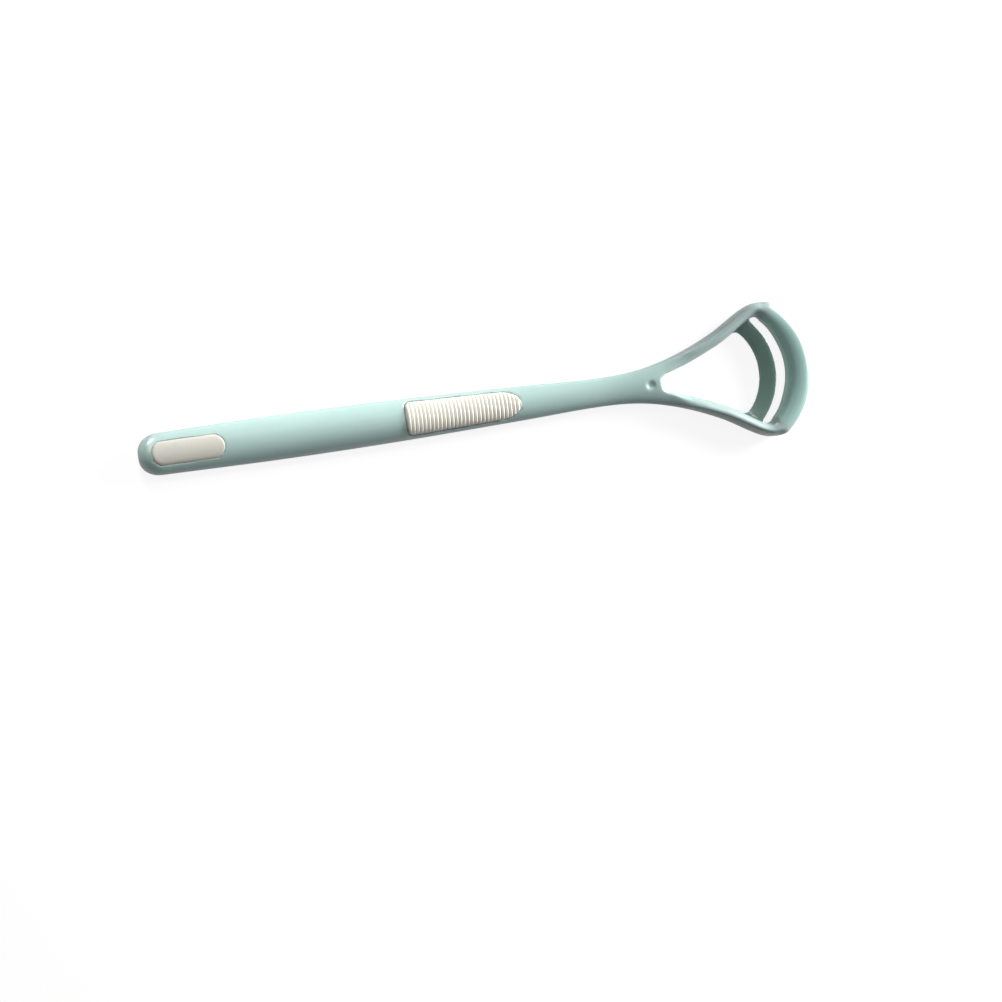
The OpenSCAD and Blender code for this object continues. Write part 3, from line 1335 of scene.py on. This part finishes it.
@dataclass
class TailInset(SoftPiece):
    """The smooth soft inset near the tail."""

    pocket: InsetPocket
    gap: float = 0.02
    rise: float = 0.06
    edge_round: float = 0.7
    edge_drop: float = 0.22
    flange: float = 0.1
    flange_depth: float = 0.2
    least_foot: float = 0.1
    along: int = 90

    def ring(self, x: float) -> list[Vector]:
        """Ring of the inset at x.

        Args:
            x: Distance from the tail end.

        Returns:
            The ring in metres.
        """
        pocket = self.pocket
        radius, inner = pocket.width / 2 + self.flange, pocket.width / 2 - self.gap
        centre_low, centre_high = pocket.start + pocket.width / 2, pocket.end - pocket.width / 2
        off = max(0.0, centre_low - x, x - centre_high)
        half = max(self.least_half, math.sqrt(max(0.0, radius * radius - off * off)))
        low = max(self.least_foot, math.sqrt(max(0.0, inner * inner - off * off)))
        shoulder = pocket.shape.top(x, half) - self.edge_drop - self.flange_depth
        floor = pocket.floor + self.floor_gap if off < inner else shoulder - self.floor_gap
        ring = [in_metres(x, y, z) for y, z in ((-low, floor), (low, floor), (low, shoulder))]
        for turn in evenly(0.0, math.pi, self.across):
            y = half * math.cos(turn)
            inside = max(0.0, radius - math.hypot(off, y))
            left = max(0.0, 1 - inside / self.edge_round)
            drop = self.edge_drop * (1 - math.sqrt(1 - left * left))
            ring.append(in_metres(x, y, pocket.shape.top(x, y) + self.rise - drop))
        ring.append(in_metres(x, -low, shoulder))
        return ring

    def build(self) -> bpy.types.Object:
        """Models the inset.

        Returns:
            The finished piece.
        """
        first, span = self.pocket.start - self.flange, self.pocket.length + 2 * self.flange
        places = close_at_ends(first, span, self.along)
        inset = self.mould("tail_inset_pad", [self.ring(x) for x in places])
        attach(inset, "root")
        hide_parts("tail_inset")
        return inset


@dataclass
class Studio:
    """The plain floor, the soft lamps and the camera."""

    lens: float = 1500.0
    field: float = 226.2
    tilt: float = 18.0
    turn: float = 8.0
    aim: tuple[float, float] = (6.1, -20.55)
    aim_height: float = 2.5
    sensor: float = 36.0
    lamp_distance: float = 700.0
    key_azimuth: float = 17.0
    key_elevation: float = 14.5
    key_size: float = 280.0
    key_level: float = 2.25
    spot_aim: tuple[float, float, float] = (-45.0, 0.0, 0.0)
    spot_azimuth: float = 101.0
    spot_distance: float = 500.0
    spot_radius: float = 80.0
    spot_reach: float = 106.0
    high_elevation: float = 60.0
    high_level: float = 0.33
    low_elevation: float = 22.0
    low_level: float = 1.02
    world_level: float = 0.15
    floor_size: float = 6000.0
    floor_drop: float = 0.01
    floor_shine: float = 0.4
    floor_dull: float = 0.42
    floor_white: float = 0.2
    floor_light: float = 0.88

    def camera(self) -> None:
        """Sets the camera at the photograph's viewing angle."""
        tilt, turn = math.radians(self.tilt), math.radians(self.turn)
        back = Vector((-math.sin(tilt), 0.0, math.cos(tilt)))
        right_level = Vector((math.cos(tilt), 0.0, math.sin(tilt)))
        up_level = Vector((0.0, 1.0, 0.0))
        right = right_level * math.cos(turn) - up_level * math.sin(turn)
        up = right_level * math.sin(turn) + up_level * math.cos(turn)
        data = bpy.data.cameras.new("camera")
        data.lens = self.lens
        data.sensor_width = self.sensor
        data.clip_start, data.clip_end = 0.05, 20.0
        camera = bpy.data.objects.new("camera", data)
        bpy.context.scene.collection.objects.link(camera)
        aim = (Vector((0.0, 0.0, self.aim_height)) + right * self.aim[0] + up * self.aim[1]) * MM
        place = aim + back * (self.lens * self.field / self.sensor * MM)
        turned = Matrix((right, up, back)).transposed().to_4x4()
        camera.matrix_world = Matrix.Translation(place) @ turned
        bpy.context.scene.camera = camera

    def hang(
        self,
        data: bpy.types.Light,
        aim: Vector,
        distance: float,
        azimuth: float,
        elevation: float,
    ) -> None:
        """Hangs a lamp that faces a place.

        Args:
            data: The lamp.
            aim: The place that it faces, in metres.
            distance: Its distance from there, in metres.
            azimuth: Degrees round from +X.
            elevation: Degrees above the floor.
        """
        turn, rise = math.radians(azimuth), math.radians(elevation)
        level = math.cos(rise)
        out = Vector((level * math.cos(turn), level * math.sin(turn), math.sin(rise)))
        lamp = bpy.data.objects.new(data.name, data)
        bpy.context.scene.collection.objects.link(lamp)
        lamp.location = aim + out * distance
        lamp.rotation_mode = "QUATERNION"
        lamp.rotation_quaternion = out.to_track_quat("Z", "Y")

    def key(self) -> None:
        """Hangs the soft key lamp, low beyond the head."""
        data = bpy.data.lights.new("key_lamp", "AREA")
        data.shape = "SQUARE"
        data.size = self.key_size * MM
        distance = self.lamp_distance * MM
        data.energy = math.pi**2 * distance**2 * self.key_level
        self.hang(data, Vector(), distance, self.key_azimuth, self.key_elevation)

    def spot(self, name: str, elevation: float, level: float) -> None:
        """Hangs a soft spot beside the handle, whose light fades out towards the head.

        Args:
            name: The lamp's name.
            elevation: Degrees above the floor.
            level: Share of a white surface's brightness that it gives, facing it.
        """
        data = bpy.data.lights.new(name, "SPOT")
        data.shadow_soft_size = self.spot_radius * MM
        data.spot_size = 2 * math.atan(self.spot_reach / self.spot_distance)
        data.spot_blend = 1.0
        distance = self.spot_distance * MM
        data.energy = 4 * math.pi**2 * distance**2 * level
        self.hang(data, Vector(self.spot_aim) * MM, distance, self.spot_azimuth, elevation)

    def floor(self) -> None:
        """Lays the pale floor, which the camera sees white with the object's shadow."""
        bpy.ops.object.select_all(action="DESELECT")
        place = (0.0, 0.0, -self.floor_drop * MM)
        bpy.ops.mesh.primitive_plane_add(size=self.floor_size * MM, location=place)
        floor = bpy.context.object
        floor.name = "floor"
        material = bpy.data.materials.new("matt_white_floor")
        material.use_nodes = True
        tree = material.node_tree
        tree.nodes.clear()
        # Mirrored in the gloss plastic, the floor is dimmer than in the picture
        path = add_node(tree, "ShaderNodeLightPath")
        shine = add_node(
            tree,
            "ShaderNodeMath",
            {"operation": "MULTIPLY", 1: self.floor_shine},
            {0: path.outputs["Is Glossy Ray"]},
        )
        seen = add_node(
            tree,
            "ShaderNodeMath",
            {"operation": "MAXIMUM"},
            {0: path.outputs["Is Camera Ray"], 1: shine.outputs[0]},
        )
        dull_grey, pale_grey = (*[self.floor_dull] * 3, 1.0), (*[self.floor_white] * 3, 1.0)
        dull = add_node(tree, "ShaderNodeBsdfDiffuse", {"Color": dull_grey})
        pale = add_node(tree, "ShaderNodeBsdfDiffuse", {"Color": pale_grey})
        lit = add_node(
            tree, "ShaderNodeEmission", {"Color": (1, 1, 1, 1), "Strength": self.floor_light}
        )
        white = add_node(tree, "ShaderNodeAddShader", None, {0: pale.outputs[0], 1: lit.outputs[0]})
        above = add_node(
            tree,
            "ShaderNodeMixShader",
            None,
            {0: seen.outputs[0], 1: dull.outputs[0], 2: white.outputs[0]},
        )
        # From below the floor lets the object's underside be seen
        side = add_node(tree, "ShaderNodeNewGeometry")
        clear = add_node(tree, "ShaderNodeBsdfTransparent")
        surface = add_node(
            tree,
            "ShaderNodeMixShader",
            None,
            {0: side.outputs["Backfacing"], 1: above.outputs[0], 2: clear.outputs[0]},
        )
        add_node(tree, "ShaderNodeOutputMaterial", None, {"Surface": surface.outputs[0]})
        floor.data.materials.append(material)

    def sky(self) -> None:
        """Fills the room with even light."""
        world = bpy.data.worlds.new("room")
        bpy.context.scene.world = world
        world.use_nodes = True
        tree = world.node_tree
        tree.nodes.clear()
        path = add_node(tree, "ShaderNodeLightPath")
        level = add_node(
            tree,
            "ShaderNodeMapRange",
            {"To Min": self.world_level, "To Max": 1.0},
            {"Value": path.outputs["Is Camera Ray"]},
        )
        light = add_node(
            tree,
            "ShaderNodeBackground",
            {"Color": (1, 1, 1, 1)},
            {"Strength": level.outputs["Result"]},
        )
        add_node(tree, "ShaderNodeOutputWorld", None, {"Surface": light.outputs[0]})

    def build(self) -> None:
        """Sets up the whole studio."""
        bpy.context.scene.view_settings.view_transform = "Standard"
        self.camera()
        self.floor()
        self.sky()
        self.key()
        self.spot("high_lamp", self.high_elevation, self.high_level)
        self.spot("low_lamp", self.low_elevation, self.low_level)


# Glossy moulded polypropylene in a pale mint: a soft even sheen, and light glows a little way in
MINT_PLASTIC = MouldedFinish(
    name="moulded_mint_polypropylene",
    base="aecac5",
    deep="a8c4bf",
    roughness=0.35,
    roughness_spread=0.03,
    grain_mm=0.5,
    grain_height_mm=0.003,
    flow_mm=14.0,
    ior=1.49,
    glow=0.3,
    glow_depth_mm=1.2,
    polish=1.0,
    # The body's painted light and shade multiply this colour
    has_painted_light=True,
)
# Etched thermoplastic rubber in cream: matt, with a fine dry grain
CREAM_GRIP = MouldedFinish(
    name="etched_cream_thermoplastic_rubber",
    base="f8f5ec",
    deep="f4f1e6",
    roughness=0.52,
    roughness_spread=0.04,
    grain_mm=0.12,
    grain_height_mm=0.008,
    flow_mm=3.0,
    ior=1.5,
    glow=0.15,
    glow_depth_mm=0.5,
)
# The same rubber from a smoother mould, a shade greyer
CREAM_INSET = replace(
    CREAM_GRIP,
    name="smooth_cream_thermoplastic_rubber",
    base="cfccc2",
    deep="cac7bd",
    roughness=0.45,
    grain_mm=0.2,
    grain_height_mm=0.004,
    flow_mm=5.0,
)


def main() -> None:
    """Builds the scraper and its studio."""
    logging.basicConfig(level=logging.INFO, format="%(message)s")
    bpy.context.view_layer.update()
    shape = HandleShape()
    pad_pocket, inset_pocket = PadPocket(shape), InsetPocket(shape)
    cutters = [pad_pocket.cutter(), *pad_pocket.anchor_cutters()]
    cutters += [inset_pocket.cutter(), *inset_pocket.anchor_cutters()]
    pieces = [
        ScraperBody(shape, MINT_PLASTIC).build(cutters),
        ThumbPad(pad_pocket, CREAM_GRIP).build(),
        TailInset(inset_pocket, CREAM_INSET).build(),
    ]
    for piece in pieces:
        piece.data.calc_loop_triangles()
        LOG.info("%s: %d triangles", piece.name, len(piece.data.loop_triangles))
    Studio().build()
    LOG.info("size file written")


if __name__ == "__main__":
    main()
